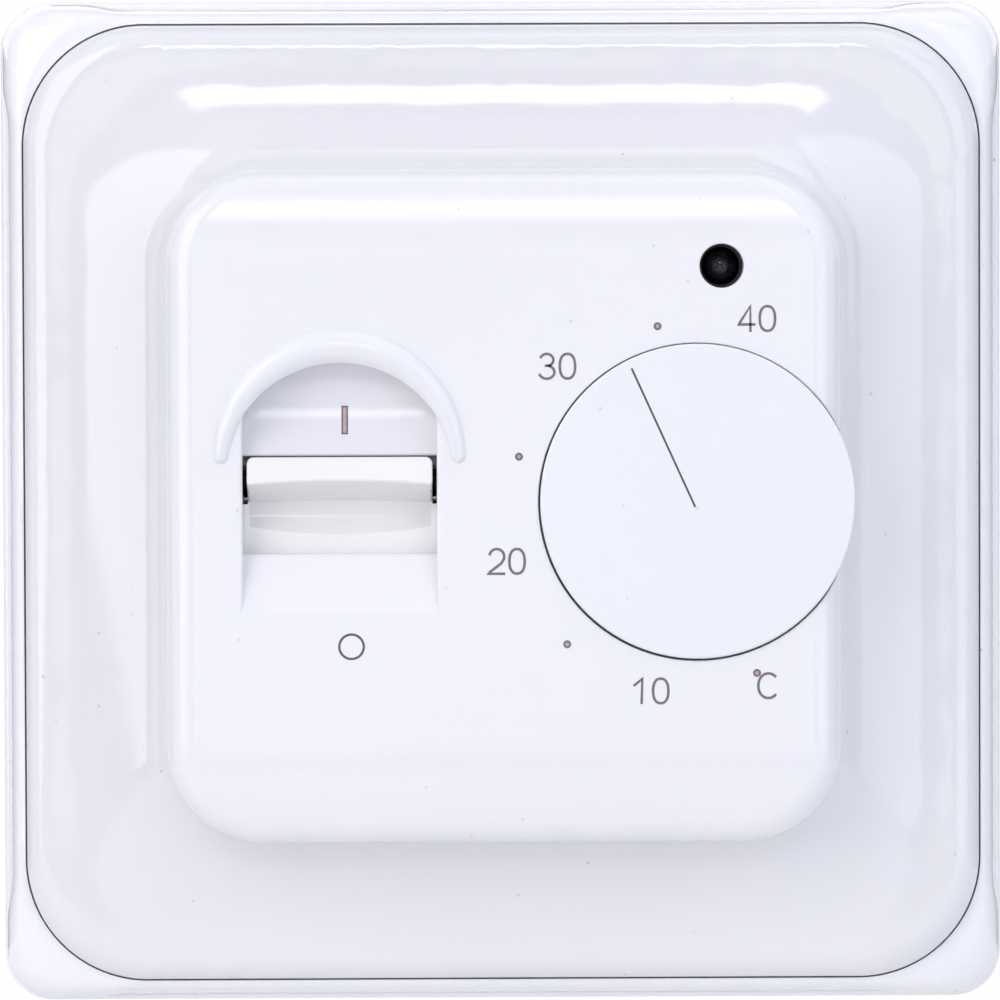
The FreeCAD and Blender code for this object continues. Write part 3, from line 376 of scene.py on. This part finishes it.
for text, (across, up) in {**SCALE_NUMBERS, **UNIT_MARK}.items():
    print_strokes(f"scale_{text}", label_strokes(text, across, up), STROKE, face_y, INK_THICKNESS, INK_GREY,
                  "base")
dot_middles = [(dial_x + x * MM, dial_z + z * MM) for x, z in SCALE_DOTS]
ring_middle_r = (DOT_R + DOT_HEART_R) / 2
print_strokes("scale_dots", [ring_stroke(x, z, ring_middle_r) for x, z in dot_middles], DOT_R - DOT_HEART_R,
              face_y, INK_THICKNESS, INK_GREY, "base")
print_strokes("scale_dot_hearts", [([(x - DOT_HEART_R, z), (x + DOT_HEART_R, z)], False)
                                   for x, z in dot_middles], DOT_HEART_R * 2, face_y, HEART_THICKNESS,
              INK_WARM, "base")

OFF_X, OFF_Z = lever_x + 0.95 * MM, -11.74 * MM
OFF_RING_R, OFF_STROKE = 1.03 * MM, 0.20 * MM
print_strokes("off_mark", [ring_stroke(OFF_X, OFF_Z, OFF_RING_R, 48)], OFF_STROKE, face_y,
              INK_THICKNESS, INK_DARK, "base")

# The pointer line is paint lying in the dial's groove.
POINTER_LEAN = math.radians(24.5)
POINTER_FROM, POINTER_TO, POINTER_SIDE = -0.33 * MM, 12.48 * MM, 0.4 * MM
PAINT_WIDTH, GROOVE_DEPTH, PAINT_DEPTH = 0.16 * MM, 0.12 * MM, 0.04 * MM
direction = Vector((-math.sin(POINTER_LEAN), math.cos(POINTER_LEAN)))
sideways = Vector((-direction.y, direction.x))
axis_point = Vector((dial_x, dial_z)) + sideways * POINTER_SIDE
print_strokes("pointer_paint", [([tuple(axis_point + direction * POINTER_FROM),
                                  tuple(axis_point + direction * POINTER_TO)], False)], PAINT_WIDTH,
              knob_low.y + GROOVE_DEPTH, PAINT_DEPTH, INK_DARK, "dial")


RAY_START_Y = -0.1                       # well in front of the object


def on_surface(node, x, z):
    """Where a ray looking along +Y meets a CAD node."""
    return NODES[node].ray_cast((x, RAY_START_Y, z), (0, 1, 0))[1]


def draped_patch(name, node, x0, x1, z0, z1, lift, material, body, rows=14):
    """A thin strip of ink that follows the node's surface, as a closed solid."""
    vertices, faces = [], []
    for row in range(rows + 1):
        z = z0 + (z1 - z0) * row / rows
        for x in (x0, x1):
            place = on_surface(node, x, z)
            vertices += [tuple(place), (place.x, place.y - lift, place.z)]
    for row in range(rows):
        a, b = 4 * row, 4 * row + 4
        faces += [(a + 1, a + 3, b + 3, b + 1), (a, b, b + 2, a + 2), (a, a + 1, b + 1, b),
                  (a + 2, b + 2, b + 3, a + 3)]
    end = 4 * rows
    faces += [(0, 2, 3, 1), (end, end + 1, end + 3, end + 2)]
    return make_object(name, vertices, faces, material, body)


ON_X, ON_Z, ON_HALF_X, ON_HALF_Z = lever_x + 0.42 * MM, 7.28 * MM, 0.27 * MM, 1.20 * MM
FILL_INSET, FILL_THICKNESS = 0.13 * MM, INK_THICKNESS * 1.8
draped_patch("on_mark", "centre_cover", ON_X - ON_HALF_X, ON_X + ON_HALF_X,
             ON_Z - ON_HALF_Z, ON_Z + ON_HALF_Z, INK_THICKNESS, INK_DARK, "base")
draped_patch("on_mark_fill", "centre_cover", ON_X - ON_HALF_X + FILL_INSET, ON_X + ON_HALF_X - FILL_INSET,
             ON_Z - ON_HALF_Z + FILL_INSET, ON_Z + ON_HALF_Z - FILL_INSET, FILL_THICKNESS, INK_WARM,
             "base")


# ---------------------------------------------------------------- floor, light, camera
def floor_material():
    material, tree, shader = new_material("pale floor")
    space = texture_space(tree)
    link(tree, blend_colours(tree, noise(tree, space, 6.0, 4.0), (0.80, 0.80, 0.81), (0.84, 0.84, 0.845)),
         shader.inputs["Base Color"])
    shader.inputs["Roughness"].default_value = 0.6
    return material


FLOOR_Z, FLOOR_HALF = -0.085, 0.3
floor_mesh = bpy.data.meshes.new("floor")
floor_mesh.from_pydata([(-FLOOR_HALF, -FLOOR_HALF, FLOOR_Z), (FLOOR_HALF, -FLOOR_HALF, FLOOR_Z),
                        (FLOOR_HALF, FLOOR_HALF, FLOOR_Z), (-FLOOR_HALF, FLOOR_HALF, FLOOR_Z)], [],
                       [(0, 1, 2, 3)])
floor_mesh.materials.append(floor_material())
floor = bpy.data.objects.new("floor", floor_mesh)
scene.collection.objects.link(floor)


def area_light(name, azimuth, elevation, distance, width, height, radiance, colour, roll):
    """A soft panel facing the object. Azimuth 0 is in front, positive to the right; radiance 1 is white."""
    data = bpy.data.lights.new(name, "AREA")
    data.shape = "RECTANGLE"
    data.size, data.size_y = width, height
    data.energy = radiance * math.pi * width * height
    data.color = colour
    light = bpy.data.objects.new(name, data)
    scene.collection.objects.link(light)
    a, e = math.radians(azimuth), math.radians(elevation)
    back = Vector((math.sin(a) * math.cos(e), -math.cos(a) * math.cos(e), math.sin(e)))
    light.location = back * distance
    light.rotation_mode = "QUATERNION"
    turn = Matrix.Rotation(math.radians(roll), 4, back).to_quaternion()
    light.rotation_quaternion = turn @ (-back).to_track_quat("-Z", "Y")
    light.visible_camera = False


NEUTRAL, COOL = (1.0, 1.0, 1.0), (0.96, 1.0, 1.08)
# name: azimuth, elevation, distance, angular width and height, radiance, colour, roll (angles in degrees)
PANELS = {
    "front": (0, 2, 1.4, 26, 18, 1.1, NEUTRAL, 0),
    "left softbox": (-44, 20, 1.0, 42, 50, 2.7, NEUTRAL, 8),
    "left high": (-50, 62, 1.2, 40, 34, 0.3, COOL, 0),
    "right high": (50, 62, 1.2, 40, 34, 1.1, NEUTRAL, 0),
    "overhead strip": (1.5, 23, 1.1, 16, 7, 5.5, NEUTRAL, 0),
    "overhead": (0, 45, 1.1, 50, 26, 0.5, NEUTRAL, 0),
    "right": (40, 14, 1.2, 40, 50, 1.6, COOL, 0),
    "low front": (0, -24, 1.2, 50, 20, 0.9, COOL, 0),
    "far left": (-85, 20, 1.2, 26, 60, 0.8, COOL, 0),
    "far right": (84, 30, 1.2, 30, 60, 1.1, COOL, 0),
    "top": (0, 80, 1.2, 60, 26, 0.7, NEUTRAL, 0),
    "back left": (-142, 32, 1.2, 56, 50, 1.5, NEUTRAL, 0),
    "back right": (142, 32, 1.2, 56, 50, 1.5, NEUTRAL, 0),
}
for name, (azimuth, elevation, distance, wide, tall, radiance, colour, roll) in PANELS.items():
    width, height = (2 * distance * math.tan(math.radians(angle / 2)) for angle in (wide, tall))
    area_light(name, azimuth, elevation, distance, width, height, radiance, colour, roll)


AMBIENT_BELOW, AMBIENT_ABOVE = (0.03, 0.033, 0.04), (0.06, 0.063, 0.07)
BACKDROP = (1.0, 1.0, 1.0)               # what the camera sees past the object


def studio_world():
    world = bpy.data.worlds.new("studio")
    scene.world = world
    world.use_nodes = True
    tree = world.node_tree
    background = tree.nodes["Background"]
    direction_out = tree.nodes.new("ShaderNodeTexCoord").outputs["Generated"]
    parts = tree.nodes.new("ShaderNodeSeparateXYZ")
    link(tree, direction_out, parts.inputs["Vector"])
    ambient = blend_colours(tree, span(tree, parts.outputs["Z"], -1.0, 1.0, 0.0, 1.0),
                            AMBIENT_BELOW, AMBIENT_ABOVE)
    seen = tree.nodes.new("ShaderNodeLightPath")
    link(tree, blend_colours(tree, seen.outputs["Is Camera Ray"], ambient, BACKDROP),
         background.inputs["Color"])


studio_world()

# The camera stands 0.55 m in front, a little left and above, aimed near the middle of the wall plane.
CAMERA_AT = Vector((-0.0063, -0.55, 0.0185))
LOOK_AT = Vector((-0.00015, 0.0, 0.00004))
CAMERA_ROLL = math.radians(-0.19)
VIEW_WIDTH = 0.0865
SENSOR = 36.0
camera_data = bpy.data.cameras.new("camera")
camera_data.sensor_width = SENSOR
camera_data.lens = SENSOR * (CAMERA_AT - LOOK_AT).length / VIEW_WIDTH
camera = bpy.data.objects.new("camera", camera_data)
scene.collection.objects.link(camera)
camera.location = CAMERA_AT
camera.rotation_mode = "QUATERNION"
camera.rotation_quaternion = ((LOOK_AT - CAMERA_AT).to_track_quat("-Z", "Y")
                              @ Matrix.Rotation(CAMERA_ROLL, 4, "Z").to_quaternion())
camera_data.clip_start, camera_data.clip_end = 0.01, 20.0
scene.camera = camera
scene.view_settings.view_transform = "Standard"
